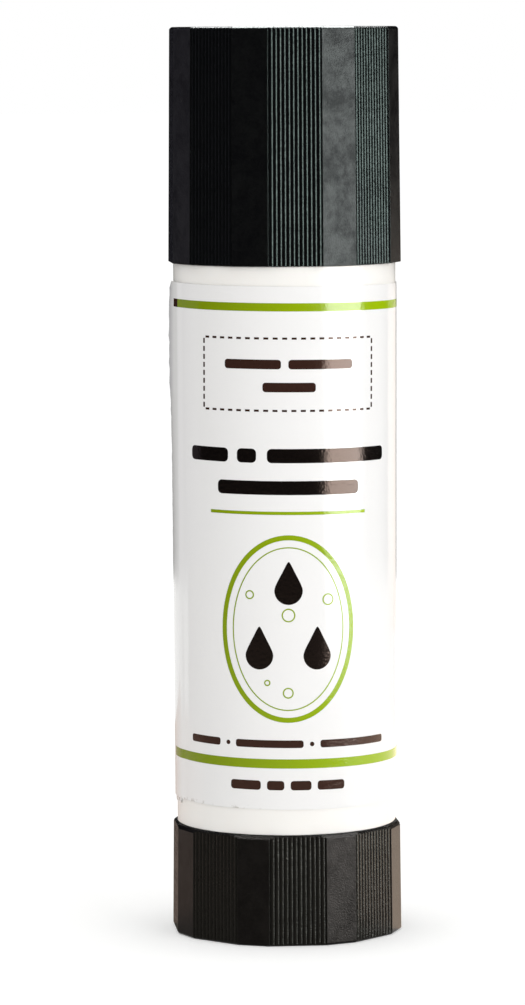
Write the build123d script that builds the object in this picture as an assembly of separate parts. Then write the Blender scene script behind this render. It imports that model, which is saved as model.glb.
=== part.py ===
from build123d import *
import os
from math import cos, radians, sin, tan

# Twist-up stick: a white tube with a pull-off cap on top and a twist knob at the foot.
# Millimetres and degrees. The axis is Z, the knob stands on z = 0 and the front faces -Y.

# Heights along the column
knob_height = 12.15
knob_gap = 0.05
body_length = 61.98
cap_gap = 0.05
cap_height = 25.77

# Barrel
bore_radius = 10.3
body_wall = 1.95
body_draft = 0.13
neck_wall = 1.0
neck_draft = 0.85
neck_ring_height = 3.2
neck_ring_bulge = 0.1
neck_ring_radius = 0.5
key_width = 1.2
key_height = 0.5
key_top_space = 0.5
key_sink = 0.3
key_count = 2
floor_rise = 2.4
floor_thickness = 1.6
bearing_length = 4.0
bearing_wall = 1.9
spigot_step = 1.2
spigot_wall = 1.1
spigot_end_space = 3.0
shoulder_fillet = 0.08
mouth_fillet = 0.2

# Sixteen-sided grip, shared by the cap and the knob
grip_pairs = 8
rib_count = 12
rib_depth = 0.16
rib_margin = 0.14
grip_front_angle = -84.3
trim_oversize = 0.02

# Cap
cap_bore_clearance = 0.15
cap_wall = 0.97
cap_draft = 0.54
cap_ribbed_angle = 26.8
cap_top_wall = 1.6
cap_edge_fillet = 0.42
cap_groove_clearance = 0.06

# Seal plug in the cap
plug_clearance = 0.02
plug_mouth_gap = 0.3
plug_height = 2.5
plug_web = 1.0
plug_flange_height = 1.0
plug_depth = 1.3
plug_ring_wall = 0.9
plug_ring_clearance = 0.12

# Knob
knob_bore_clearance = 0.12
knob_wall = 1.16
knob_draft = 0.58
knob_ribbed_angle = 28.6
knob_floor = 1.4
knob_recess = 0.5
knob_foot_width = 2.4
knob_flat_bevel = 0.4
knob_ribbed_bevel = 0.22
knob_foot_fillet = 0.4
hub_wall = 2.0
hub_gap = 0.2

# Spindle
core_radius = 2.1
thread_height = 1.0
thread_root_width = 1.7
thread_crest_width = 0.8
thread_lead = 5.5
thread_sink = 0.25
thread_start_space = 0.5
journal_clearance = 0.08
collar_radius = 4.6
collar_thickness = 1.4
collar_gap = 0.1
tail_width = 5.2
tail_clearance = 0.02
tail_end_gap = 0.2
tail_sides = 6
spindle_tip_space = 0.6
tip_chamfer = 0.5

# Seal ring on the journal
seal_section_radius = 0.45
seal_clearance = 0.02

# Carrier
carrier_gap = 0.3
nut_length = 9.6
nut_wall = 1.5
nut_clearance = 0.12
skirt_length = 3.6
cup_floor = 1.2
cup_depth = 5.8
cup_wall = 1.1
lip_clearance = 0.06
lip_height = 0.8
carrier_clearance = 0.2
notch_clearance = 0.15
fin_count = 4
fin_thickness = 1.0
fin_height = 3.6
fin_reach = 2.6
fin_first_angle = 45

# Stain remover stick
stick_clearance = 0.1
stick_headspace = 0.3
stick_hole_clearance = 0.3
stick_top_thickness = 1.8
stick_edge_fillet = 0.7

# Label
label_thickness = 0.1
label_adhesive = 0.02
label_low_margin = 2.85
label_high_margin = 2.13
label_start_angle = 199
label_lap_angle = 15
label_jog_angle = 2
label_turn = -1

# Shared by all cuts
overrun = 1.0
match_tolerance = 0.001
full_turn = 360

# Heights that follow from the sizes above
shoulder_z = knob_height + knob_gap
body_top_z = shoulder_z + body_length
cap_low_z = body_top_z + cap_gap
cap_top_z = cap_low_z + cap_height
cap_ceiling_z = cap_top_z - cap_top_wall
plug_low_z = cap_ceiling_z - plug_height
mouth_z = plug_low_z - plug_mouth_gap
plug_end_z = mouth_z - plug_depth
floor_top_z = shoulder_z + floor_rise
bearing_low_z = floor_top_z - bearing_length
hub_top_z = bearing_low_z - hub_gap
knob_floor_z = knob_recess + knob_floor
spigot_low_z = knob_floor_z + spigot_end_space
collar_low_z = floor_top_z + collar_gap
collar_top_z = collar_low_z + collar_thickness
thread_low_z = collar_top_z + thread_start_space
carrier_low_z = collar_top_z + carrier_gap
nut_top_z = carrier_low_z + nut_length
cup_floor_z = carrier_low_z + skirt_length
cup_inside_z = cup_floor_z + cup_floor
cup_rim_z = cup_inside_z + cup_depth
stick_top_z = plug_end_z - stick_headspace
stick_hole_z = stick_top_z - stick_top_thickness
spindle_top_z = stick_hole_z - spindle_tip_space
label_low_z = shoulder_z + label_low_margin
label_high_z = body_top_z - label_high_margin

# Radii that follow from the sizes above
body_high_radius = bore_radius + body_wall
neck_low_radius = bore_radius + neck_wall
crest_radius = core_radius + thread_height
tail_corner_share = 1 / cos(radians(full_turn / 2 / tail_sides))
tail_corner_radius = tail_width / 2 * tail_corner_share
journal_radius = tail_corner_radius + journal_clearance
bearing_radius = journal_radius + journal_clearance


def body_radius(z):
    return body_high_radius - (body_top_z - z) * tan(radians(body_draft))


def neck_radius(z):
    return neck_low_radius - (z - body_top_z) * tan(radians(neck_draft))


def cap_bore_radius(z):
    return neck_radius(z) + cap_bore_clearance


spigot_radius = body_radius(shoulder_z) - spigot_step
knob_bore_radius = spigot_radius + knob_bore_clearance


# A solid turned about the axis from its half outline of (radius, height) points
def turned(points):
    outline = Polyline(*[(radius, 0, z) for radius, z in points], close=True)
    return revolve(make_face(outline), Axis.Z)


def disc(radius, low_z, high_z):
    return turned([(0, low_z), (radius, low_z), (radius, high_z), (0, high_z)])


def hexagon_bar(width, low_z, high_z):
    corner = width / 2 * tail_corner_share
    return extrude(Plane.XY.offset(low_z) * RegularPolygon(corner, tail_sides), high_z - low_z)


# A bar that stands out from the axis at the given angle, between two radii
def radial_bar(angle, inner_radius, outer_radius, width, low_z, high_z):
    length = outer_radius - inner_radius
    height = high_z - low_z
    bar = Box(length, width, height, align=(Align.MIN, Align.CENTER, Align.MIN))
    return Rot(0, 0, angle) * Pos(inner_radius, 0, low_z) * bar


# The circular edges of a solid at one radius and one height
def rims(solid, radius, z):
    found = []
    for edge in solid.edges().filter_by(GeomType.CIRCLE):
        same_radius = abs(edge.radius - radius) < match_tolerance
        same_height = abs(edge.arc_center.Z - z) < match_tolerance
        if same_radius and same_height:
            found.append(edge)
    return found


def polar(radius, angle, z):
    return Vector(radius * cos(radians(angle)), radius * sin(radians(angle)), z)


# Corners of the grip at one height: each pair holds the two ends of a ribbed flat
def grip_corners(corner_radius, ribbed_angle, z):
    pairs = []
    for index in range(grip_pairs):
        middle = grip_front_angle + index * full_turn / grip_pairs
        start = polar(corner_radius, middle - ribbed_angle / 2, z)
        end = polar(corner_radius, middle + ribbed_angle / 2, z)
        pairs.append((start, end))
    return pairs


# Ribbed outline: round ribs between sharp grooves on every other flat
def ribbed_face(corner_radius, ribbed_angle, z):
    pairs = grip_corners(corner_radius, ribbed_angle, z)
    edges = []
    for index, (start, end) in enumerate(pairs):
        along = (end - start).normalized()
        inward = Vector(-along.Y, along.X, 0) * rib_depth
        band_start = start + along * rib_margin
        pitch = ((end - start).length - 2 * rib_margin) / rib_count
        grooves = [band_start + along * (pitch * step) + inward for step in range(rib_count + 1)]
        edges.append(Line(start, grooves[0]))
        for left, right in zip(grooves, grooves[1:]):
            crest = (left + right) / 2 - inward
            edges.append(ThreePointArc(left, crest, right))
        edges.append(Line(grooves[-1], end))
        edges.append(Line(end, pairs[(index + 1) % grip_pairs][0]))
    return make_face(edges)


def plain_face(corner_radius, ribbed_angle, z):
    corners = []
    for start, end in grip_corners(corner_radius, ribbed_angle, z):
        corners.append(start)
        corners.append(end)
    return make_face(Polyline(*corners, close=True))


# Edges that lie flat at one height
def flat_edges(solid, z):
    return [edge for edge in solid.edges()
            if abs(edge.bounding_box().min.Z - z) < match_tolerance
            and abs(edge.bounding_box().max.Z - z) < match_tolerance]


# Shortest first: the flats without ribs, then the ribbed ones
def by_length(edges):
    return sorted(edges, key=lambda edge: edge.length)


# Ribbed frustum
def ribbed_block(low_radius, high_radius, ribbed_angle, low_z, high_z):
    return loft([ribbed_face(low_radius, ribbed_angle, low_z),
                 ribbed_face(high_radius, ribbed_angle, high_z)], ruled=True)


# Plain frustum just outside the ribs: its bevelled or rounded corners trim the ribs' ends
def trim_block(low_radius, high_radius, ribbed_angle, low_z, high_z):
    return loft([plain_face(low_radius + trim_oversize, ribbed_angle, low_z),
                 plain_face(high_radius + trim_oversize, ribbed_angle, high_z)], ruled=True)


# Trapezoid ridge wound left-handed round the axis
def thread_ridge(root, crest, root_width, crest_width, low_z, length):
    path = Pos(0, 0, low_z) * Helix(thread_lead, length, core_radius, lefthand=True)
    section = Plane(origin=path @ 0, x_dir=(1, 0, 0), z_dir=path % 0)
    inner = root - core_radius
    outer = crest - core_radius
    points = [(inner, -root_width / 2), (outer, -crest_width / 2), (outer, crest_width / 2), (inner, root_width / 2)]
    return sweep(section * make_face(Polyline(*points, close=True)), path, is_frenet=True)


# Barrel: body, neck with its snap ring, floor with the bearing, and spigot inside the knob
def make_barrel():
    floor_low_z = floor_top_z - floor_thickness
    bearing_outer = bearing_radius + bearing_wall
    spigot_bore = spigot_radius - spigot_wall
    barrel = turned([
        (spigot_bore, spigot_low_z), (spigot_radius, spigot_low_z), (spigot_radius, shoulder_z),
        (body_radius(shoulder_z), shoulder_z), (body_high_radius, body_top_z),
        (neck_low_radius, body_top_z), (neck_radius(mouth_z), mouth_z),
        (bore_radius, mouth_z), (bore_radius, floor_top_z),
        (bearing_radius, floor_top_z), (bearing_radius, bearing_low_z),
        (bearing_outer, bearing_low_z), (bearing_outer, floor_low_z), (spigot_bore, floor_low_z)])
    barrel = fillet(rims(barrel, body_high_radius, body_top_z), shoulder_fillet)
    barrel = fillet(rims(barrel, body_radius(shoulder_z), shoulder_z), shoulder_fillet)
    barrel = fillet(rims(barrel, neck_radius(mouth_z), mouth_z), mouth_fillet)
    barrel = barrel + neck_ring(0)
    for index in range(key_count):
        angle = index * full_turn / key_count
        barrel = barrel + radial_bar(angle, bore_radius - key_height, bore_radius + key_sink,
                                     key_width, floor_top_z - key_sink, plug_end_z - key_top_space)
    return barrel


# Low round ring on the neck, or the grown tool for the groove that it snaps into
def neck_ring(growth):
    ring_z = body_top_z + neck_ring_height
    centre = neck_radius(ring_z) + neck_ring_bulge - neck_ring_radius
    return Pos(0, 0, ring_z) * Torus(centre, neck_ring_radius + growth)


def make_label():
    radii = [body_radius(label_low_z) + label_adhesive, body_radius(label_high_z) + label_adhesive]
    heights = [label_low_z, label_high_z]
    faces = [label_face(radius, z) for radius, z in zip(radii, heights)]
    return loft(faces, ruled=True)


# Section of the film: once round clockwise, then a jog and a lap over its own start
def label_face(radius, z):
    lap_radius = radius + label_thickness + label_adhesive
    once_round = (full_turn - label_jog_angle) * label_turn
    lap_angle = label_lap_angle * label_turn
    jog_start = label_start_angle + once_round
    lap_start = label_start_angle
    lap_end = lap_start + lap_angle
    centre = (0, 0, z)

    def film_arc(film_radius, start, size):
        return CenterArc((0, 0), film_radius, start, size).moved(Location(centre))

    edges = [
        film_arc(radius, label_start_angle, once_round),
        Line(polar(radius, jog_start, z), polar(lap_radius, lap_start, z)),
        film_arc(lap_radius, lap_start, lap_angle),
        Line(polar(lap_radius, lap_end, z), polar(lap_radius + label_thickness, lap_end, z)),
        film_arc(lap_radius + label_thickness, lap_start, lap_angle),
        Line(polar(lap_radius + label_thickness, lap_start, z), polar(radius + label_thickness, jog_start, z)),
        film_arc(radius + label_thickness, label_start_angle, once_round),
        Line(polar(radius + label_thickness, label_start_angle, z), polar(radius, label_start_angle, z))]
    return make_face(edges)


# Cap: ribbed outside with a rounded top edge, drafted bore with the snap groove, flat ceiling
def make_cap_shell():
    half = radians(cap_ribbed_angle / 2)
    low_radius = (cap_bore_radius(cap_low_z) + cap_wall + rib_depth) / cos(half)
    high_radius = low_radius - cap_height * tan(radians(cap_draft))
    outline = (low_radius, high_radius, cap_ribbed_angle, cap_low_z, cap_top_z)
    trim = trim_block(*outline)
    trim = fillet(flat_edges(trim, cap_top_z), cap_edge_fillet)
    block = ribbed_block(*outline) & trim
    low_cut_z = cap_low_z - overrun
    bore = turned([(0, low_cut_z), (cap_bore_radius(low_cut_z), low_cut_z),
                   (cap_bore_radius(cap_ceiling_z), cap_ceiling_z), (0, cap_ceiling_z)])
    groove = neck_ring(cap_groove_clearance)
    return block - bore - groove


# Plug: web against the cap's ceiling, flange above the mouth, ring inside the bore
def make_cap_seal_plug():
    ring_radius = bore_radius - plug_ring_clearance
    ring_bore = ring_radius - plug_ring_wall
    flange_high_z = plug_low_z + plug_flange_height
    web_z = cap_ceiling_z - plug_web
    return turned([
        (0, web_z), (ring_bore, web_z), (ring_bore, plug_end_z), (ring_radius, plug_end_z),
        (ring_radius, plug_low_z), (cap_bore_radius(plug_low_z) - plug_clearance, plug_low_z),
        (cap_bore_radius(flange_high_z) - plug_clearance, flange_high_z),
        (ring_radius, flange_high_z), (ring_radius, cap_ceiling_z), (0, cap_ceiling_z)])


# Knob: ribbed cup, its flats without ribs bevelled deeper, with a recessed foot and a hub for the spindle's tail
def make_twist_knob():
    half = radians(knob_ribbed_angle / 2)
    high_radius = (knob_bore_radius + knob_wall + rib_depth) / cos(half)
    low_radius = high_radius + knob_height * tan(radians(knob_draft))
    outline = (low_radius, high_radius, knob_ribbed_angle, 0, knob_height)
    trim = trim_block(*outline)
    trim = chamfer(by_length(flat_edges(trim, knob_height))[grip_pairs:], knob_ribbed_bevel)
    trim = chamfer(by_length(flat_edges(trim, knob_height))[:grip_pairs], knob_flat_bevel)
    trim = fillet(flat_edges(trim, 0), knob_foot_fillet)
    block = ribbed_block(*outline) & trim
    hub_radius = tail_corner_radius + hub_wall
    cavity = turned([
        (hub_radius, knob_floor_z), (knob_bore_radius, knob_floor_z),
        (knob_bore_radius, knob_height + overrun), (0, knob_height + overrun),
        (0, hub_top_z), (hub_radius, hub_top_z)])
    recess = disc(knob_bore_radius - knob_foot_width, -overrun, knob_recess)
    socket = hexagon_bar(tail_width + 2 * tail_clearance, knob_floor_z, hub_top_z + overrun)
    return block - cavity - recess - socket


# Spindle: six-sided tail, journal with its seal groove, collar and threaded rod
def make_spindle():
    tail = hexagon_bar(tail_width, knob_floor_z + tail_end_gap, hub_top_z + match_tolerance)
    groove_radius = bearing_radius - 2 * seal_section_radius - 2 * seal_clearance
    groove_half = seal_section_radius + seal_clearance
    seal_z = seal_height()
    rod = turned([
        (0, hub_top_z), (journal_radius, hub_top_z),
        (journal_radius, seal_z - groove_half), (groove_radius, seal_z - groove_half),
        (groove_radius, seal_z + groove_half), (journal_radius, seal_z + groove_half),
        (journal_radius, collar_low_z), (collar_radius, collar_low_z),
        (collar_radius, collar_top_z), (core_radius, collar_top_z),
        (core_radius, spindle_top_z - tip_chamfer), (core_radius - tip_chamfer, spindle_top_z),
        (0, spindle_top_z)])
    ridge_length = spindle_top_z - tip_chamfer - thread_root_width - thread_low_z
    ridge = thread_ridge(core_radius - thread_sink, crest_radius, thread_root_width, thread_crest_width,
                         thread_low_z + thread_root_width / 2, ridge_length)
    return tail + rod + ridge


# The seal sits halfway along the bearing
def seal_height():
    return (floor_top_z + bearing_low_z) / 2


def make_spindle_seal_ring():
    centre = bearing_radius - seal_clearance - seal_section_radius
    return Pos(0, 0, seal_height()) * Torus(centre, seal_section_radius)


def notch_cut(low_z, high_z, angle):
    inner = bore_radius - key_height - notch_clearance
    return radial_bar(angle, inner, bore_radius + overrun, key_width + 2 * notch_clearance, low_z, high_z)


def grip_fins():
    nut_radius = crest_radius + nut_clearance + nut_wall
    fins = []
    for index in range(fin_count):
        angle = fin_first_angle + index * full_turn / fin_count
        fins.append(radial_bar(angle, nut_radius - key_sink, nut_radius + fin_reach, fin_thickness,
                               cup_inside_z - key_sink, cup_inside_z + fin_height))
    return fins


# Nut that climbs the rod. Its groove starts one lead below the rod's ridge, so the two are in step
def make_nut(nut_radius):
    blank = disc(nut_radius, carrier_low_z, nut_top_z)
    groove = thread_ridge(core_radius, crest_radius + nut_clearance,
                          thread_root_width + 2 * nut_clearance, thread_crest_width + 2 * nut_clearance,
                          thread_low_z + thread_root_width / 2 - thread_lead, nut_length + 2 * thread_lead)
    bore = disc(core_radius + nut_clearance, carrier_low_z - overrun, nut_top_z + overrun)
    return blank - groove - bore


# Carrier: nut on the spindle, cup for the stick, lips that wipe the bore
def make_carrier():
    wall_radius = bore_radius - carrier_clearance
    lip_radius = bore_radius - lip_clearance
    cup_bore = wall_radius - cup_wall
    nut_radius = crest_radius + nut_clearance + nut_wall
    web_radius = nut_radius - key_sink
    cup = turned([
        (web_radius, cup_floor_z), (cup_bore, cup_floor_z), (cup_bore, carrier_low_z),
        (lip_radius, carrier_low_z), (lip_radius, carrier_low_z + lip_height), (wall_radius, carrier_low_z + lip_height),
        (wall_radius, cup_rim_z - lip_height), (lip_radius, cup_rim_z - lip_height), (lip_radius, cup_rim_z),
        (cup_bore, cup_rim_z), (cup_bore, cup_inside_z), (web_radius, cup_inside_z)])
    for index in range(key_count):
        cup = cup - notch_cut(carrier_low_z - overrun, cup_rim_z + overrun, index * full_turn / key_count)
    for fin in grip_fins():
        cup = cup + fin
    return cup + make_nut(nut_radius)


# Stick: fills the cup, keyed like the carrier, with a blind hole over the spindle
def make_stick():
    wall_radius = bore_radius - stick_clearance
    cup_bore = bore_radius - carrier_clearance - cup_wall
    nut_radius = crest_radius + nut_clearance + nut_wall
    hole_radius = crest_radius + stick_hole_clearance
    stick = turned([
        (nut_radius, cup_inside_z), (cup_bore, cup_inside_z), (cup_bore, cup_rim_z), (wall_radius, cup_rim_z),
        (wall_radius, stick_top_z), (0, stick_top_z), (0, stick_hole_z), (hole_radius, stick_hole_z),
        (hole_radius, nut_top_z), (nut_radius, nut_top_z)])
    stick = fillet(rims(stick, wall_radius, stick_top_z), stick_edge_fillet)
    for fin in grip_fins():
        stick = stick - fin
    for index in range(key_count):
        stick = stick - notch_cut(cup_inside_z - overrun, stick_top_z + overrun, index * full_turn / key_count)
    return stick


parts = {
    "cap_shell": make_cap_shell,
    "cap_seal_plug": make_cap_seal_plug,
    "barrel": make_barrel,
    "label": make_label,
    "stain_remover_stick": make_stick,
    "carrier": make_carrier,
    "spindle": make_spindle,
    "spindle_seal_ring": make_spindle_seal_ring,
    "twist_knob": make_twist_knob,
}

for name, make in parts.items():
    shape = make()
    print(name, "volume mm3", round(shape.volume, 1), "solids", len(shape.solids()))
    export_step(shape, f"parts/{name}.step")
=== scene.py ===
import bpy
from math import ceil, cos, pi, radians, sin, tan
from mathutils import Matrix, Vector


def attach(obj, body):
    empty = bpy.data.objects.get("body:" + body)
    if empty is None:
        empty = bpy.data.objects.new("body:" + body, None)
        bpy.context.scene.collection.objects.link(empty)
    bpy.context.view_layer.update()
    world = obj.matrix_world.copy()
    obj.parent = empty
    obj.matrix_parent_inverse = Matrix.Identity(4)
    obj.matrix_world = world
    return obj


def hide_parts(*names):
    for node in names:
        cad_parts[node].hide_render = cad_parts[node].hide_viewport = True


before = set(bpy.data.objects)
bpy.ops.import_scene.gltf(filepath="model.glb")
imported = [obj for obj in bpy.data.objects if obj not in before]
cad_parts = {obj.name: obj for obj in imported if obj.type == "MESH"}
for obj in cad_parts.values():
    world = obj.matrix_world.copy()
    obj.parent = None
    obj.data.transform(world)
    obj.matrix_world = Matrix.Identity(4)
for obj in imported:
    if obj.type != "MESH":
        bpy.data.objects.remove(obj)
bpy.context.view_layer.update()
mm = 0.001
print("twist-up stick: frame loaded,", len(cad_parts), "nodes")


# helpers for selection, colours and shader nodes

def deselectAll():
    if bpy.context.object and bpy.context.object.mode != "OBJECT":
        bpy.ops.object.mode_set(mode="OBJECT")
    bpy.ops.object.select_all(action="DESELECT")


def selectOnly(piece):
    deselectAll()
    piece.select_set(True)
    bpy.context.view_layer.objects.active = piece


def applyModifiers(piece):
    selectOnly(piece)
    for modifier in list(piece.modifiers):
        bpy.ops.object.modifier_apply(modifier=modifier.name)


def linearColour(hexText):
    values = [int(hexText[i:i + 2], 16) / 255 for i in (0, 2, 4)]
    linear = [v / 12.92 if v <= 0.04045 else ((v + 0.055) / 1.055) ** 2.4 for v in values]
    return (*linear, 1.0)


def addNode(tree, kind, inputs=None, **settings):
    node = tree.nodes.new(kind)
    for name, value in settings.items():
        setattr(node, name, value)
    for key, value in (inputs or {}).items():
        if isinstance(value, bpy.types.NodeSocket):
            tree.links.new(value, node.inputs[key])
        else:
            node.inputs[key].default_value = value
    return node


def spread(tree, value, fromRange, toRange=(0.0, 1.0)):
    levels = {"Value": value, 1: fromRange[0], 2: fromRange[1], 3: toRange[0], 4: toRange[1]}
    return addNode(tree, "ShaderNodeMapRange", levels).outputs[0]


def blendColours(tree, share, first, second):
    ends = [linearColour(end) if isinstance(end, str) else end for end in (first, second)]
    return addNode(tree, "ShaderNodeMix", {0: share, 6: ends[0], 7: ends[1]}, data_type="RGBA").outputs[2]


def startMaterial(name):
    material = bpy.data.materials.new(name)
    material.use_nodes = True
    tree = material.node_tree
    shader = tree.nodes["Principled BSDF"]
    coords = addNode(tree, "ShaderNodeTexCoord").outputs["Object"]
    place = addNode(tree, "ShaderNodeVectorMath", {0: coords, "Scale": 1 / mm}, operation="SCALE")
    return material, tree, shader, place.outputs["Vector"]   # the last output is the place in millimetres


# camera: a long lens half a metre in front, a little above the cap, looking down five degrees
cameraValues = {"distance": 0.5504, "height": 0.09877, "tiltDown": 5.3184, "yaw": 0.2617, "roll": -0.2676,
                "focalPixels": 4991.9, "frameHeight": 1005, "sensor": 36.0}


def makeCamera(values):
    data = bpy.data.cameras.new("photoCamera")
    camera = bpy.data.objects.new("photoCamera", data)
    bpy.context.scene.collection.objects.link(camera)
    data.sensor_fit = "AUTO"
    data.sensor_width = values["sensor"]
    data.lens = values["focalPixels"] / values["frameHeight"] * values["sensor"]
    turn = Matrix.Rotation(radians(values["yaw"]), 4, "Z")
    turn = turn @ Matrix.Rotation(radians(90 - values["tiltDown"]), 4, "X")
    turn = turn @ Matrix.Rotation(radians(values["roll"]), 4, "Z")
    camera.matrix_world = Matrix.Translation((0, -values["distance"], values["height"])) @ turn
    bpy.context.scene.camera = camera


makeCamera(cameraValues)


# lights: an even pale surround, a lamp at the front right that gloss doesn't see, and cards that only gloss sees:
# a soft box on the right, one overhead, black or dim ones all round, a low one behind and three on the floor.
# Sizes and places are in metres, angles in degrees from the front and positive to the right
lightValues = {"surround": 0.90, "lampPower": 0.85, "lampAngle": 44.0, "lampDistance": 0.50,
               "lampSize": (0.36, 0.20), "lampHeight": 0.11,
               "boxAngle": 63.0, "boxDistance": 0.30, "boxWidth": 0.224, "boxLow": -0.002, "boxHigh": 0.150,
               "boxGloss": 10.0,
               "topGloss": 15.0, "topPlace": (0.04, 0.21, 0.42), "topSize": (0.46, 0.46),
               "cardRadius": 0.36, "cardHeight": 0.55, "cardStep": 19.5, "cardCount": 16,
               "dimAngle": -123.6, "dimGloss": 0.22, "dimColour": "EFE6FF",
               "rearAngle": 147.0, "rearDistance": 0.28, "rearSize": (0.15, 0.058), "rearGloss": 1.08,
               "rearColour": "FFEFE0", "floorSize": 12.0, "floorColour": "F0F0EF", "floorGlow": 0.26,
               # name, direction, turn, side, gloss, colour and level above the floor
               "floorCards": (("Front", -30.0, 0.0, 0.72, 0.27, "FFF4EA", 0.0002),
                              ("Warm", 122.0, 45.0, 0.16, 1.90, "FFE7D1", 0.0002),
                              ("Rear", 222.0, 45.0, 0.16, 0.60, "FFE2D2", 0.0003))}


def whiteBackgroundShare(tree):
    # one for rays that see the background as it is, zero for the matt light that it gives
    path = addNode(tree, "ShaderNodeLightPath").outputs
    seen = addNode(tree, "ShaderNodeMath", {0: path["Is Camera Ray"], 1: path["Is Glossy Ray"]}, operation="MAXIMUM")
    share = {0: seen.outputs[0], 1: path["Is Transmission Ray"]}
    return addNode(tree, "ShaderNodeMath", share, operation="MAXIMUM").outputs[0]


def makeWorld(values):
    world = bpy.data.worlds.new("paleStudio")
    bpy.context.scene.world = world
    world.use_nodes = True
    tree = world.node_tree
    share = {0: whiteBackgroundShare(tree), 2: values["surround"], 3: 1.0}
    strength = addNode(tree, "ShaderNodeMix", share, data_type="FLOAT").outputs[0]
    tree.links.new(strength, tree.nodes["Background"].inputs["Strength"])
    tree.nodes["Background"].inputs["Color"].default_value = (1.0, 1.0, 1.0, 1.0)


def stageMaterial(name, colour, strength):
    material = bpy.data.materials.new(name)
    material.use_nodes = True
    tree = material.node_tree
    tree.nodes.remove(tree.nodes["Principled BSDF"])
    glow = addNode(tree, "ShaderNodeEmission", {"Color": linearColour(colour), "Strength": strength})
    tree.links.new(glow.outputs[0], tree.nodes["Material Output"].inputs["Surface"])
    return material


def makeFloor(values):
    deselectAll()
    bpy.ops.mesh.primitive_plane_add(size=values["floorSize"])
    floor = bpy.context.object
    floor.name = "paleFloor"
    material = bpy.data.materials.new("whitePaperSweep")
    material.use_nodes = True
    tree = material.node_tree
    tree.nodes.remove(tree.nodes["Principled BSDF"])
    paper = addNode(tree, "ShaderNodeBsdfDiffuse", {"Color": linearColour(values["floorColour"])})
    lift = {0: whiteBackgroundShare(tree), 1: values["floorGlow"]}
    level = addNode(tree, "ShaderNodeMath", lift, operation="MULTIPLY").outputs[0]
    glow = addNode(tree, "ShaderNodeEmission", {"Strength": level})
    both = addNode(tree, "ShaderNodeAddShader", {0: paper.outputs[0], 1: glow.outputs[0]})
    tree.links.new(both.outputs[0], tree.nodes["Material Output"].inputs["Surface"])
    floor.data.materials.append(material)


def glossOnly(card):
    card.visible_camera = False
    card.visible_diffuse = False
    card.visible_transmission = False
    card.visible_volume_scatter = False
    card.visible_shadow = False


def makeCard(name, centre, facing, size, material):
    deselectAll()
    bpy.ops.mesh.primitive_plane_add(size=1)
    card = bpy.context.object
    card.name = name
    turn = Vector(facing).to_track_quat("Z", "Y").to_matrix().to_4x4()
    card.matrix_world = Matrix.Translation(centre) @ turn @ Matrix.Diagonal((*size, 1, 1))
    card.data.materials.append(material)
    glossOnly(card)


def makeLamp(values):
    # the matt share of the light: wide, low and from the front right
    angle = radians(values["lampAngle"])
    toLamp = Vector((sin(angle), -cos(angle), 0))
    data = bpy.data.lights.new("softLamp", "AREA")
    data.shape = "RECTANGLE"
    data.size, data.size_y = values["lampSize"]
    data.energy = values["lampPower"]
    lamp = bpy.data.objects.new("softLamp", data)
    bpy.context.scene.collection.objects.link(lamp)
    centre = toLamp * values["lampDistance"] + Vector((0, 0, values["lampHeight"]))
    lamp.matrix_world = Matrix.Translation(centre) @ toLamp.to_track_quat("Z", "Y").to_matrix().to_4x4()
    lamp.visible_glossy = False


def makeSoftBox(values):
    # the glossy share: a bright box that stands further round to the right
    angle = radians(values["boxAngle"])
    toBox = Vector((sin(angle), -cos(angle), 0))
    middle = (values["boxLow"] + values["boxHigh"]) / 2
    size = (values["boxWidth"], values["boxHigh"] - values["boxLow"])
    glow = stageMaterial("softBoxFront", "FFFFFF", values["boxGloss"])
    makeCard("softBoxGloss", toBox * values["boxDistance"] + Vector((0, 0, middle)), -toBox, size, glow)


def makeTopLight(values):
    glow = stageMaterial("overheadFront", "FFFFFF", values["topGloss"])
    makeCard("overheadGloss", values["topPlace"], (0, 0, -1), values["topSize"], glow)


def makeSideCards(values):
    # a ring of black cards that leaves the soft box free; those near dimAngle give a dim gleam
    velvet = stageMaterial("blackVelvetCard", "000000", 0.0)
    dim = stageMaterial("greyVelvetCard", values["dimColour"], values["dimGloss"])
    radius, height, step = values["cardRadius"], values["cardHeight"], values["cardStep"]
    width = 2 * radius * tan(radians(step / 2))
    first = values["boxAngle"] + 180 - step * (values["cardCount"] - 1) / 2
    for k in range(values["cardCount"]):
        angle = radians(first + k * step)
        outward = Vector((sin(angle), -cos(angle), 0))
        centre = outward * radius + Vector((0, 0, height / 2))
        fromDim = (first + k * step - values["dimAngle"] + 180) % 360 - 180
        makeCard("sideCard%d" % k, centre, -outward, (width, height), dim if abs(fromDim) < step else velvet)


def makeRearReflector(values):
    # a low warm card behind on the right, which the tube's right limb sees
    warm = stageMaterial("warmReflectorCard", values["rearColour"], values["rearGloss"])
    angle = radians(values["rearAngle"])
    outward = Vector((sin(angle), -cos(angle), 0))
    width, height = values["rearSize"]
    centre = outward * values["rearDistance"] + Vector((0, 0, height / 2))
    makeCard("rearReflector", centre, -outward, (width, height), warm)


def makeFloorCards(values):
    # cards on the floor that only gloss sees: dim on the left and behind, warm on the right, as on a wooden table
    for name, direction, turn, side, gloss, colour, level in values["floorCards"]:
        angle = radians(direction)
        away = side / 2 / cos(radians(turn))
        centre = Vector((sin(angle) * away, -cos(angle) * away, level))
        deselectAll()
        bpy.ops.mesh.primitive_plane_add(size=side)
        card = bpy.context.object
        card.name = "floorCard" + name
        card.matrix_world = Matrix.Translation(centre) @ Matrix.Rotation(angle + radians(turn), 4, "Z")
        card.data.materials.append(stageMaterial("floorCard%sGlow" % name, colour, gloss))
        glossOnly(card)


makeWorld(lightValues)
makeFloor(lightValues)
makeLamp(lightValues)
makeSoftBox(lightValues)
makeTopLight(lightValues)
makeSideCards(lightValues)
makeRearReflector(lightValues)
makeFloorCards(lightValues)
print("twist-up stick: camera, floor and lights ready")


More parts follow.
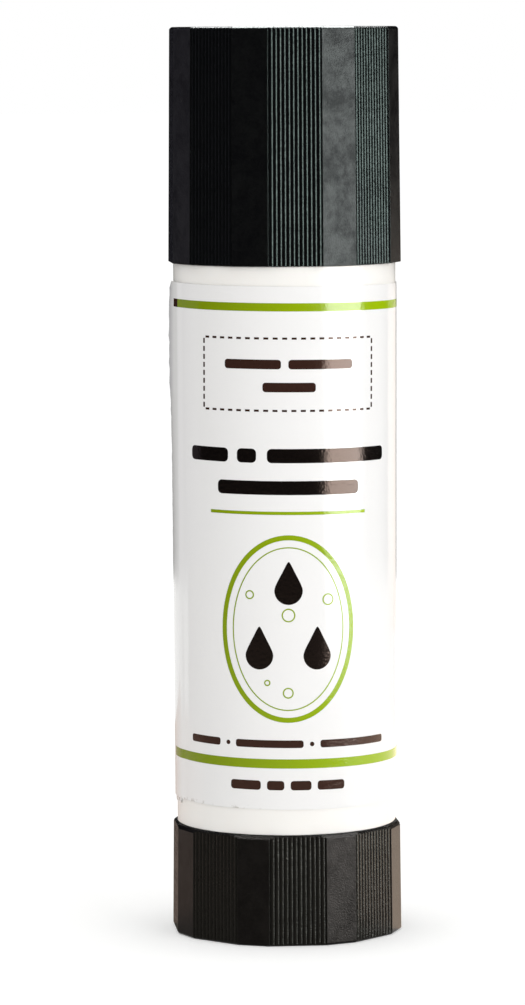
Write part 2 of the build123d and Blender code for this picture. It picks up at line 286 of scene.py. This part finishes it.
# moulded plastics: a mould's fine grain, slight mottling, dust specks, and edges tinted with the mark colour, which
# is paler on the black cap and knob: partly wear, partly a painted edge highlight

def ribMask(tree, place, lean, values):
    # one on the ribbed flats, zero on the plain ones between them, on the ends and on the inside
    around = addNode(tree, "ShaderNodeSeparateXYZ", {0: place}).outputs
    side = addNode(tree, "ShaderNodeMath", {0: lean, 1: values["edgeLean"][0]}, operation="LESS_THAN").outputs[0]
    level = addNode(tree, "ShaderNodeVectorMath", {0: place, 1: (1.0, 1.0, 0.0)}, operation="MULTIPLY").outputs[0]
    out = addNode(tree, "ShaderNodeVectorMath", {0: level}, operation="LENGTH").outputs["Value"]
    outer = addNode(tree, "ShaderNodeMath", {0: out, 1: values["ribRadius"]}, operation="GREATER_THAN").outputs[0]
    side = addNode(tree, "ShaderNodeMath", {0: side, 1: outer}, operation="MULTIPLY").outputs[0]
    turn = addNode(tree, "ShaderNodeMath", {0: around[1], 1: around[0]}, operation="ARCTAN2").outputs[0]
    first = radians(values["ribCentre"] - values["ribPitch"] / 2)
    turn = addNode(tree, "ShaderNodeMath", {0: turn, 1: first}, operation="SUBTRACT").outputs[0]
    pitch = radians(values["ribPitch"])
    turn = addNode(tree, "ShaderNodeMath", {0: turn, 1: pitch}, operation="FLOORED_MODULO").outputs[0]
    away = addNode(tree, "ShaderNodeMath", {0: turn, 1: pitch / 2}, operation="SUBTRACT").outputs[0]
    away = addNode(tree, "ShaderNodeMath", {0: away}, operation="ABSOLUTE").outputs[0]
    near = addNode(tree, "ShaderNodeMath", {0: away, 1: radians(values["ribAngle"] / 2)}, operation="LESS_THAN")
    return addNode(tree, "ShaderNodeMath", {0: near.outputs[0], 1: side}, operation="MULTIPLY").outputs[0]


def mouldedPlastic(name, values):
    material, tree, shader, place = startMaterial(name)
    grain = addNode(tree, "ShaderNodeTexNoise", {"Vector": place, "Scale": 1 / values["grainSize"], "Detail": 2.0})
    clouds = {"Scale": 1 / values["mottleSize"], "Detail": values["mottleDetail"], "Roughness": values["mottleRough"]}
    mottle = addNode(tree, "ShaderNodeTexNoise", {"Vector": place, **clouds})
    soft = addNode(tree, "ShaderNodeBevel", {"Radius": values["edgeRadius"] * mm}, samples=values["edgeSamples"])
    flat = addNode(tree, "ShaderNodeNewGeometry").outputs["Normal"]
    same = addNode(tree, "ShaderNodeVectorMath", {0: soft.outputs[0], 1: flat}, operation="DOT_PRODUCT")
    edge = spread(tree, same.outputs["Value"], values["edgeRange"])
    # painted highlight: the mark colour laid along the edges stands partly for wear and partly for the light that the
    # rounded edges catch
    edgeMarkInputs = {0: edge, 1: mottle.outputs["Fac"]}
    edgeWearAndSheen = addNode(tree, "ShaderNodeMath", edgeMarkInputs, operation="MULTIPLY").outputs[0]
    edgeWearAndSheen = addNode(tree, "ShaderNodeMath", {0: edgeWearAndSheen, 1: values["edgeWearAndSheen"]}, operation="MULTIPLY").outputs[0]
    cells = addNode(tree, "ShaderNodeTexVoronoi", {"Vector": place, "Scale": 1 / values["speckSpacing"]})
    fade = (values["speckSize"], values["speckSize"] * values["speckCore"])
    near = spread(tree, cells.outputs["Distance"], fade)
    chosen = addNode(tree, "ShaderNodeSeparateColor", {0: cells.outputs["Color"]})
    few = addNode(tree, "ShaderNodeMath", {0: chosen.outputs[0], 1: values["speckShare"]}, operation="LESS_THAN")
    speck = addNode(tree, "ShaderNodeMath", {0: near, 1: few.outputs[0]}, operation="MULTIPLY").outputs[0]
    mark = addNode(tree, "ShaderNodeMath", {0: speck, 1: edgeWearAndSheen}, operation="MAXIMUM").outputs[0]
    colour = blendColours(tree, mottle.outputs["Fac"], values["deepColour"], values["colour"])
    colour = blendColours(tree, mark, colour, values["markColour"])
    rough = spread(tree, mottle.outputs["Fac"], values["roughRange"], (values["roughLow"], values["roughHigh"]))
    sheens = (values["specular"] * (1 - values["cloud"]), values["specular"] * (1 + values["cloud"]))
    sheen = spread(tree, mottle.outputs["Fac"], values["cloudRange"], sheens)
    if "ribRough" in values:
        # lean is 0 on a wall and 1 on an end, which is matt; the edges between them are rubbed smooth by handling
        lean = addNode(tree, "ShaderNodeSeparateXYZ", {0: flat}).outputs[2]
        lean = addNode(tree, "ShaderNodeMath", {0: lean}, operation="ABSOLUTE").outputs[0]
        ribbed = ribMask(tree, place, lean, values)
        least, most = values["edgeLean"]
        between = {0: lean, 1: (least + most) / 2, 2: (most - least) / 2}
        rounded = addNode(tree, "ShaderNodeMath", between, operation="COMPARE").outputs[0]
        flatEnd = addNode(tree, "ShaderNodeMath", {0: lean, 1: most}, operation="GREATER_THAN").outputs[0]
        for share, part in ((ribbed, "rib"), (rounded, "edge"), (flatEnd, "end")):
            smoother = {0: share, 2: rough, 3: values[part + "Rough"]}
            rough = addNode(tree, "ShaderNodeMix", smoother, data_type="FLOAT").outputs[0]
            brighter = {0: share, 2: sheen, 3: values[part + "Sheen"]}
            sheen = addNode(tree, "ShaderNodeMix", brighter, data_type="FLOAT").outputs[0]
        tint = blendColours(tree, ribbed, values["tint"], values["ribTint"])
        tree.links.new(tint, shader.inputs["Specular Tint"])
    else:
        shader.inputs["Specular Tint"].default_value = linearColour(values["tint"])
    rise = {"Strength": 1.0, "Distance": values["grainDepth"] * mm, "Height": grain.outputs["Fac"]}
    bump = addNode(tree, "ShaderNodeBump", {**rise, "Normal": soft.outputs[0]})
    tree.links.new(colour, shader.inputs["Base Color"])
    tree.links.new(rough, shader.inputs["Roughness"])
    tree.links.new(sheen, shader.inputs["Specular IOR Level"])
    tree.links.new(bump.outputs[0], shader.inputs["Normal"])
    shader.inputs["IOR"].default_value = values["ior"]
    shader.inputs["Subsurface Weight"].default_value = values["depth"]
    shader.inputs["Subsurface Radius"].default_value = values["depthShares"]
    shader.inputs["Subsurface Scale"].default_value = values["depthSize"] * mm
    return material


# what the moulded pieces share. Sizes are in millimetres; the ranges say where each mask starts and ends
moulded = {"markColour": "55534F", "ior": 1.49, "cloud": 0.50, "cloudRange": (0.40, 0.60), "roughRange": (0.3, 0.7),
           "grainSize": 0.17, "mottleSize": 3.0, "mottleDetail": 8.0, "mottleRough": 0.80, "edgeRadius": 0.07,
           "edgeSamples": 4, "edgeRange": (0.998, 0.94), "edgeWearAndSheen": 0.2, "speckSpacing": 1.6, "speckSize": 0.05,
           "speckCore": 0.6, "speckShare": 0.10, "depth": 0.0, "depthSize": 0.1, "depthShares": (1.0, 0.9, 0.8)}
# black polypropylene, moulded in a spark-eroded cavity: near black, clouded satin flats and smoother ribs
capPlastic = {**moulded, "colour": "0B0B0D", "deepColour": "070709", "tint": "EAF4F1", "specular": 0.27,
              "roughLow": 0.30, "roughHigh": 0.42, "grainDepth": 0.035, "edgeRough": 0.16, "edgeSheen": 0.7,
              "edgeLean": (0.22, 0.97), "endRough": 0.55, "endSheen": 0.14, "ribCentre": -84.3, "ribPitch": 45.0,
              "ribAngle": 27.0, "ribRadius": 12.0, "ribRough": 0.20, "ribSheen": 0.42, "ribTint": "D2EEE6"}
# the same black polypropylene from the knob's tool, a little warmer and duller from handling
knobPlastic = {**capPlastic, "colour": "0E0D0C", "deepColour": "0A0908", "tint": "FFF8F2", "roughLow": 0.34,
               "roughHigh": 0.46, "specular": 0.29, "cloud": 0.3, "speckShare": 0.16, "edgeRough": 0.22,
               "edgeSheen": 0.10, "ribAngle": 28.8, "ribRough": 0.24, "ribSheen": 0.5, "ribTint": "F0F2E8"}
# white polypropylene, moulded and semi-gloss: bright, slightly warm, light enters a little way
barrelPlastic = {**moulded, "colour": "F6F4F0", "deepColour": "F5F2ED", "markColour": "E6E3DC", "tint": "FFFFFF",
                 "specular": 0.5, "cloud": 0.1, "roughLow": 0.16, "roughHigh": 0.22, "grainSize": 0.3,
                 "grainDepth": 0.002, "speckShare": 0.03, "depth": 0.10, "depthSize": 1.2}
# natural low-density polyethylene: milky and translucent, softly glossy
naturalPlastic = {**barrelPlastic, "colour": "E4E5DF", "deepColour": "DADBD3", "markColour": "BDB9AC",
                  "roughLow": 0.30, "roughHigh": 0.40, "depth": 0.35, "depthSize": 2.5}
# white polypropylene from a polished tool: whiter, denser and glossier than the barrel
spindlePlastic = {**barrelPlastic, "colour": "EDEDEA", "deepColour": "E6E6E2", "ior": 1.48, "roughLow": 0.2,
                  "roughHigh": 0.28, "depth": 0.08}
# cast wax and soap stick: off-white, waxy, its surface slightly pitted and smeared
stickWax = {**barrelPlastic, "colour": "EEE9DA", "deepColour": "E2DBC8", "markColour": "CDC4AE", "ior": 1.44,
            "roughLow": 0.42, "roughHigh": 0.58, "grainSize": 0.5, "grainDepth": 0.03, "mottleSize": 5.0,
            "mottleRough": 0.5, "edgeRadius": 0.25, "speckSpacing": 1.1, "speckSize": 0.07, "speckShare": 0.3,
            "depth": 0.5, "depthSize": 2.0}
# black nitrile rubber ring: matt and slightly bloomed
ringRubber = {**moulded, "colour": "1B1B1D", "deepColour": "151516", "tint": "FFFFFF", "ior": 1.52,
              "roughLow": 0.6, "roughHigh": 0.75, "specular": 0.35, "grainDepth": 0.02, "edgeRadius": 0.05}

finishes = {"cap_shell": ("blackPolypropyleneCap", capPlastic),
            "twist_knob": ("blackPolypropyleneKnob", knobPlastic),
            "barrel": ("whitePolypropyleneBarrel", barrelPlastic),
            "spindle": ("whitePolypropyleneSpindle", spindlePlastic),
            "carrier": ("naturalPolyethyleneCarrier", naturalPlastic),
            "cap_seal_plug": ("naturalPolyethylenePlug", naturalPlastic),
            "stain_remover_stick": ("castWaxStick", stickWax),
            "spindle_seal_ring": ("blackNitrileRing", ringRubber)}
for node, (name, values) in finishes.items():
    finish = mouldedPlastic(name, values)
    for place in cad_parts[node].material_slots:
        place.material = finish
print("twist-up stick: moulded pieces finished")


# label: one film wrapped once round the tube. Its outer end laps over the inner one at the left and lifts there.
# Sizes are in millimetres and angles in degrees; lift pairs a height with how far the end stands off the tube there
labelValues = {"lowZ": 15.05, "highZ": 72.05, "outerEnd": -86.0, "innerEnd": 289.0, "jogAngle": 7.0,
               "thickness": 0.1, "adhesive": 0.02, "skew": 0.0073, "skewCentre": 43.6, "printOffset": 0.36,
               "lowTubeZ": 12.2, "lowTubeRadius": 12.11, "highTubeZ": 74.18, "highTubeRadius": 12.25,
               "columnAngle": 1.0, "rowHeight": 0.75, "smoothAngle": 35.0, "liftStart": -72.0, "ripple": 0.035,
               "rippleRise": 4, "rippleWaves": ((2.3, 0.0), (3.7, 1.0)),
               "lift": ((15, 0.0), (36, 0.0), (42, 0.05), (53, 0.08), (57.5, 0.15), (62, 0.32), (67, 0.34),
                        (71, 0.29), (72.1, 0.0))}


def tubeRadius(z):
    v = labelValues
    share = (z - v["lowTubeZ"]) / (v["highTubeZ"] - v["lowTubeZ"])
    return v["lowTubeRadius"] + share * (v["highTubeRadius"] - v["lowTubeRadius"])


def smoothStep(share):
    share = min(max(share, 0.0), 1.0)
    return share * share * (3 - 2 * share)


def liftAt(z):
    v, points = labelValues, labelValues["lift"]
    for (lowZ, low), (highZ, high) in zip(points, points[1:]):
        if z <= highZ:
            even = low + (high - low) * smoothStep((z - lowZ) / (highZ - lowZ))
            waves = sum(sin(z * pitch + start) for pitch, start in v["rippleWaves"])
            return even + v["ripple"] * min(even * v["rippleRise"], 1.0) * waves
    return points[-1][1]


def filmRadius(angle, z):
    # outer face of the film: it climbs over its inner end, and its outer end lifts
    v = labelValues
    layer = v["thickness"] + v["adhesive"]
    overEnd = v["innerEnd"] - 360 + v["jogAngle"]
    climb = smoothStep((overEnd - angle) / v["jogAngle"])
    loose = min(max((v["liftStart"] - angle) / (v["liftStart"] - v["outerEnd"]), 0.0), 1.0)
    return tubeRadius(z) + layer * (1 + climb) + liftAt(z) * loose * loose


def printRadius():
    v = labelValues
    return tubeRadius(v["skewCentre"]) + v["thickness"] + v["adhesive"]


def arcLength(angle):
    return radians(angle) * printRadius()


def wrapOnTube(piece, proud):
    # flat artwork in metres, x along the film and y up it, goes round the tube
    v, meanRadius = labelValues, printRadius()
    for vertex in piece.data.vertices:
        along, up, out = vertex.co / mm
        z = up - v["skew"] * along
        angle = (along + v["skew"] * (up - v["skewCentre"])) / meanRadius * 180 / pi
        radius = filmRadius(angle, z) + proud + out
        vertex.co = Vector((sin(radians(angle)) * radius, -cos(radians(angle)) * radius, z)) * mm
    piece.data.update()


def labelFilmMaterial(name, values):
    material, tree, shader, place = startMaterial(name)
    wave = addNode(tree, "ShaderNodeTexNoise", {"Vector": place, "Scale": 1 / values["waveSize"], "Detail": 1.0})
    fine = addNode(tree, "ShaderNodeTexNoise", {"Vector": place, "Scale": 1 / values["fineSize"], "Detail": 2.0})
    coarseRise = {"Strength": 1.0, "Distance": values["waveDepth"] * mm, "Height": wave.outputs["Fac"]}
    coarse = addNode(tree, "ShaderNodeBump", coarseRise)
    fineRise = {"Strength": 1.0, "Distance": values["fineDepth"] * mm, "Height": fine.outputs["Fac"]}
    bump = addNode(tree, "ShaderNodeBump", {**fineRise, "Normal": coarse.outputs[0]})
    colour = blendColours(tree, fine.outputs["Fac"], values["deepColour"], values["colour"])
    side, _, height = addNode(tree, "ShaderNodeSeparateXYZ", {0: place}).outputs
    if "paintedLightColour" in values:
        # painted light and shade: deeper at the left, away from the light, and yellower and brighter at the right,
        # where the light falls
        across = spread(tree, side, values["paintedLightSides"])
        colour = blendColours(tree, across, colour, values["paintedLightColour"])
    if "liftedShadeColour" in values:
        # painted shade: greyer where the film stands off the tube, for the shade under the lifted film
        level = addNode(tree, "ShaderNodeVectorMath", {0: place, 1: (1.0, 1.0, 0.0)}, operation="MULTIPLY").outputs[0]
        out = addNode(tree, "ShaderNodeVectorMath", {0: level}, operation="LENGTH").outputs["Value"]
        colour = blendColours(tree, spread(tree, out, values["liftedRadii"]), colour, values["liftedShadeColour"])
    if "dirt" in values:
        # grime caught on the adhesive along the left of the film's low edge
        tilt = {0: side, 1: labelValues["skew"], 2: height}
        level = addNode(tree, "ShaderNodeMath", tilt, operation="MULTIPLY_ADD").outputs[0]
        low = addNode(tree, "ShaderNodeMath", {0: level, 1: labelValues["lowZ"]}, operation="SUBTRACT").outputs[0]
        dust = addNode(tree, "ShaderNodeTexNoise", {"Vector": place, "Scale": values["dirtScale"], "Detail": 3.0})
        mask = spread(tree, low, (values["dirtHeight"], 0.0))
        left = spread(tree, side, values["dirtSides"], (0.0, values["dirtShare"]))
        for share in (spread(tree, dust.outputs["Fac"], values["dirtSpots"]), left):
            mask = addNode(tree, "ShaderNodeMath", {0: mask, 1: share}, operation="MULTIPLY").outputs[0]
        colour = blendColours(tree, mask, colour, values["dirt"])
    tree.links.new(colour, shader.inputs["Base Color"])
    tree.links.new(bump.outputs[0], shader.inputs["Normal"])
    shader.inputs["Roughness"].default_value = values["rough"]
    shader.inputs["IOR"].default_value = values["ior"]
    shader.inputs["Specular Tint"].default_value = linearColour(values["tint"])
    return material


# white polypropylene label film, printed and laminated: bright, glossy, with the faint waves of a hand-wrapped label
# and a painted shade where its end lifts
filmFinish = {"colour": "F0EFEE", "deepColour": "EEEDEC", "liftedShadeColour": "D2D1D3", "liftedRadii": (12.50, 12.64),
              "tint": "FFFFFF", "rough": 0.11, "ior": 1.5, "waveSize": 5.0, "waveDepth": 0.03, "fineSize": 0.35,
              "fineDepth": 0.001, "dirt": "A39B90", "dirtHeight": 0.45, "dirtScale": 1.4, "dirtSpots": (0.56, 0.66),
              "dirtSides": (-2.0, -4.0), "dirtShare": 0.8}
# offset inks under the same gloss film, their surface a little uneven
brownFinish = {"colour": "3A241D", "deepColour": "301E18", "tint": "FFE6D8", "rough": 0.13, "ior": 1.5,
               "waveSize": 5.0, "waveDepth": 0.03, "fineSize": 0.30, "fineDepth": 0.02}
blackFinish = {**brownFinish, "colour": "0E0B0A", "deepColour": "0B0808", "tint": "FFE2D2"}
# the green's own colour is its shaded left end; the yellower colour at the right is painted light
greenFinish = {**brownFinish, "colour": "788A06", "deepColour": "738504", "paintedLightColour": "9CBB04",
               "paintedLightSides": (-12.0, 12.0), "tint": "FFFFFF"}


def makeLabelFilm(values):
    low, high = values["lowZ"], values["highZ"]
    start, end = arcLength(values["outerEnd"]), arcLength(values["innerEnd"])
    columns = ceil((values["innerEnd"] - values["outerEnd"]) / values["columnAngle"])
    rows = ceil((high - low) / values["rowHeight"])
    deselectAll()
    bpy.ops.mesh.primitive_grid_add(x_subdivisions=columns, y_subdivisions=rows, size=1)
    film = bpy.context.object
    film.name = "label_film_wrapped"
    bpy.ops.object.mode_set(mode="EDIT")
    bpy.ops.mesh.select_all(action="SELECT")
    size = ((end - start) * mm, (high - low) * mm, 1)
    bpy.ops.transform.resize(value=size, center_override=(0, 0, 0))
    bpy.ops.transform.translate(value=((start + end) / 2 * mm, (low + high) / 2 * mm, 0))
    bpy.ops.object.mode_set(mode="OBJECT")
    wrapOnTube(film, 0.0)
    wall = film.modifiers.new("thickness", "SOLIDIFY")
    wall.thickness = values["thickness"] * mm
    wall.offset = -1
    applyModifiers(film)
    bpy.ops.object.shade_smooth_by_angle(angle=radians(values["smoothAngle"]))
    film.data.materials.append(labelFilmMaterial("glossyPolypropyleneFilm", filmFinish))
    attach(film, "barrel")
    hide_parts("label")


makeLabelFilm(labelValues)
print("twist-up stick: label film wrapped")


# print: thin ink pieces drawn flat, cut into narrow columns and wrapped on the film
inkValues = {"thickness": 0.012, "proud": 0.002, "cornerSteps": 4, "ringSides": 96, "smallRingSides": 32,
             "dotSides": 16, "dropSides": 40, "dropWaist": 0.62, "dropTip": 2.2, "dashLength": 0.54,
             "dashWidth": 0.23, "rowPitch": 1.0, "sidePitch": 0.87, "wordRounding": 0.32}


def startInk(name):
    deselectAll()
    bpy.ops.mesh.primitive_plane_add(size=mm)
    ink = bpy.context.object
    ink.name = name
    bpy.ops.object.mode_set(mode="EDIT")
    bpy.ops.mesh.delete(type="VERT")
    return ink


def addBar(centreX, centreY, width, height, rounding=0.0):
    centre = (centreX * mm, centreY * mm, 0)
    bpy.ops.mesh.primitive_plane_add(size=mm, location=centre)
    bpy.ops.transform.resize(value=(width, height, 1), center_override=centre)
    if rounding:
        bpy.ops.mesh.bevel(affect="VERTICES", offset=rounding * mm, offset_type="OFFSET",
                           segments=inkValues["cornerSteps"])


def addDisc(centreX, centreY, width, height, sides):
    centre = (centreX * mm, centreY * mm, 0)
    bpy.ops.mesh.primitive_circle_add(vertices=sides, radius=mm, fill_type="NGON", location=centre)
    bpy.ops.transform.resize(value=(width / 2, height / 2, 1), center_override=centre)


def addRing(centreX, centreY, width, height, band, sides):
    addDisc(centreX, centreY, width, height, sides)
    bpy.ops.mesh.inset(thickness=band * mm)
    bpy.ops.mesh.delete(type="FACE")


def addDrop(centreX, centreY, width, height):
    # a round drop whose upper half is drawn up to a point
    addDisc(centreX, centreY, width, width, inkValues["dropSides"])
    bpy.ops.object.mode_set(mode="OBJECT")
    rise = height - width
    mesh = bpy.context.object.data
    for vertex in mesh.vertices:
        if vertex.select:
            x, y = vertex.co.x / mm - centreX, vertex.co.y / mm - centreY
            if y > 0:
                share = y / (width / 2)
                vertex.co.x = (centreX + x * (1 - inkValues["dropWaist"] * share * share)) * mm
                vertex.co.y = (centreY + y + rise * share ** inkValues["dropTip"]) * mm
    bpy.ops.object.mode_set(mode="EDIT")


def finishInk(ink, material):
    # the cuts fall on the film's own columns, so that the ink follows every bend of the film
    first, column = arcLength(labelValues["outerEnd"]), arcLength(labelValues["columnAngle"])
    bpy.ops.object.mode_set(mode="OBJECT")
    sides = [vertex.co.x / mm - first for vertex in ink.data.vertices]
    bpy.ops.object.mode_set(mode="EDIT")
    for k in range(ceil(min(sides) / column), ceil(max(sides) / column)):
        bpy.ops.mesh.select_all(action="SELECT")
        bpy.ops.mesh.bisect(plane_co=((first + k * column) * mm, 0, 0), plane_no=(1, 0, 0))
    bpy.ops.object.mode_set(mode="OBJECT")
    wrapOnTube(ink, inkValues["proud"])
    layer = ink.modifiers.new("inkLayer", "SOLIDIFY")
    layer.thickness = inkValues["thickness"] * mm
    layer.offset = 1
    applyModifiers(ink)
    bpy.ops.object.shade_smooth_by_angle(angle=radians(labelValues["smoothAngle"]))
    ink.data.materials.append(material)
    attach(ink, "barrel")


def addDashedFrame(halfWidth, lowY, highY, middle):
    v = inkValues
    for y in (lowY, highY):
        count = int(2 * halfWidth / v["rowPitch"])
        for k in range(count):
            x = middle - halfWidth + (k + 0.5) * 2 * halfWidth / count
            addBar(x, y, v["dashLength"], v["dashWidth"])
    for x in (middle - halfWidth, middle + halfWidth):
        count = round((highY - lowY) / v["sidePitch"])
        for k in range(count):
            y = lowY + (k + 0.5) * (highY - lowY) / count
            addBar(x, y, v["dashWidth"], v["dashLength"])


# places on the front of the label, in millimetres from the print's middle and up the tube. A line of words is its
# lower and upper edge and where its bars start and end. Bubbles and drops are placed from the medallion's middle
frontPrint = {"bands": ((69.36, 70.25), (19.58, 20.59)), "bandAngles": ((-70.6, 273.5), (-80.0, 273.5)),
              "eyeMark": (-77.0, -70.6, 69.36, 70.25), "underline": (9.2, 47.3, 47.65), "frame": (10.2, 58.6, 66.43),
              "frameWords": ((62.82, 64.42, ((-7.3, -0.9), (-0.1, 7.3))), (60.33, 61.93, ((-2.9, 2.9),))),
              "titleWords": ((52.5, 54.9, ((-12.3, -6.9), (-5.8, -3.6), (-2.4, 12.3))),
                             (49.04, 51.4, ((-8.2, 8.2),))),
              "smallWords": ((21.6, 22.9, ((-12.4, -7.9), (-5.9, 1.7), (3.6, 12.4))),
                             (16.9, 18.5, ((-6.5, -3.0), (-2.3, -0.4), (0.3, 2.6), (3.3, 6.5)))),
              "wordShare": 0.64, "dots": ((-6.85, 22.25), (2.65, 22.25)), "dotSize": 0.5,
              "medallion": (15.2, 20.5, 34.85), "outerLine": 0.55, "innerInset": 2.6, "innerLine": 0.13,
              "bubbles": ((0.0, 1.5, 1.5), (-4.3, 3.7, 1.0), (4.4, 3.2, 1.3), (0.0, -7.0, 1.2), (-2.3, -5.9, 0.7)),
              "bubbleLine": 0.14, "drops": ((0.0, 4.2), (-3.2, -2.9), (3.2, -2.9)), "dropSize": (3.1, 4.7)}


def addWords(values, lines, middle):
    for low, high, words in values[lines]:
        height = (high - low) * values["wordShare"]
        for left, right in words:
            rounding = height * inkValues["wordRounding"]
            addBar(middle + (left + right) / 2, (low + high) / 2, right - left, height, rounding)


def makeGreenInk(values):
    middle = labelValues["printOffset"]
    ink = startInk("label_green_ink")
    for (low, high), (first, last) in zip(values["bands"], values["bandAngles"]):
        start, end = arcLength(first), arcLength(last)
        addBar((start + end) / 2, (low + high) / 2, end - start, high - low)
    half, low, high = values["underline"]
    addBar(middle, (low + high) / 2, 2 * half, high - low)
    width, height, centre = values["medallion"]
    inset, sides = values["innerInset"], inkValues["ringSides"]
    addRing(middle, centre, width, height, values["outerLine"], sides)
    addRing(middle, centre, width - inset, height - inset, values["innerLine"], sides)
    for x, y, size in values["bubbles"]:
        addRing(middle + x, centre + y, size, size, values["bubbleLine"], inkValues["smallRingSides"])
    finishInk(ink, labelFilmMaterial("greenOffsetInk", greenFinish))


def makeBrownInk(values):
    middle = labelValues["printOffset"]
    ink = startInk("label_brown_ink")
    left, right, low, high = values["eyeMark"]
    addBar(arcLength((left + right) / 2), (low + high) / 2, arcLength(right - left), high - low)
    half, low, high = values["frame"]
    addDashedFrame(half, low, high, middle)
    addWords(values, "frameWords", middle)
    addWords(values, "smallWords", middle)
    for x, y in values["dots"]:
        addDisc(middle + x, y, values["dotSize"], values["dotSize"], inkValues["dotSides"])
    finishInk(ink, labelFilmMaterial("brownOffsetInk", brownFinish))


def makeBlackInk(values):
    middle = labelValues["printOffset"]
    ink = startInk("label_black_ink")
    addWords(values, "titleWords", middle)
    centre = values["medallion"][2]
    for x, y in values["drops"]:
        addDrop(middle + x, centre + y, *values["dropSize"])
    finishInk(ink, labelFilmMaterial("blackOffsetInk", blackFinish))


# small print on the back: plain bars for lines of words, and a panel of upright bars. A panel is its angle, its width
# and its paragraphs, each with the height of its top line and its count of lines
backPrint = {"wordWidths": (2.1, 1.3, 3.0, 1.7, 2.5, 0.9, 2.8), "gap": 0.55, "shortestRest": 1.2,
             "lineHeight": 0.62, "linePitch": 1.55, "headingHeight": 1.05, "headingWidth": 7.5,
             "headingRise": 2.0, "headingRounding": 0.3, "wordShift": (3, 2),
             "panels": ((133.0, 14.0, ((66.0, 8), (51.0, 6), (39.0, 7))), (219.0, 14.0, ((66.0, 10), (48.0, 6)))),
             "stripes": (219.0, 27.0, 34.5, 11.5), "stripeWidths": (0.25, 0.5, 0.25, 0.75, 0.25, 0.25, 0.5, 0.25)}


def addParagraph(values, middle, width, top, lines, first):
    # each line runs on through the same list of word widths, and the last one stops short
    widths, word = values["wordWidths"], first
    for line in range(lines):
        left = middle - width / 2
        end = middle + width / 2 if line < lines - 1 else middle
        z = top - line * values["linePitch"]
        while end - left > values["shortestRest"]:
            size = min(widths[word % len(widths)], end - left)
            addBar(left + size / 2, z, size, values["lineHeight"])
            left += size + values["gap"]
            word += 1


def makeBackInk(values):
    ink = startInk("label_back_ink")
    for panel, (angle, width, paragraphs) in enumerate(values["panels"]):
        middle = arcLength(angle)
        for index, (top, lines) in enumerate(paragraphs):
            heading = middle - width / 2 + values["headingWidth"] / 2
            addBar(heading, top + values["headingRise"], values["headingWidth"], values["headingHeight"],
                   values["headingRounding"])
            panelShift, paragraphShift = values["wordShift"]
            addParagraph(values, middle, width, top, lines, panelShift * panel + paragraphShift * index)
    angle, low, high, width = values["stripes"]
    left, widths, k = arcLength(angle) - width / 2, values["stripeWidths"], 0
    while left < arcLength(angle) + width / 2:
        # the gaps take the same widths in another order
        size = widths[k % len(widths)]
        addBar(left + size / 2, (low + high) / 2, size, high - low)
        left += size + widths[(3 * k + 1) % len(widths)]
        k += 1
    finishInk(ink, labelFilmMaterial("brownOffsetInkBack", brownFinish))


makeGreenInk(frontPrint)
makeBrownInk(frontPrint)
makeBlackInk(frontPrint)
makeBackInk(backPrint)
print("twist-up stick: label printed")

bpy.context.scene.view_settings.view_transform = "Standard"
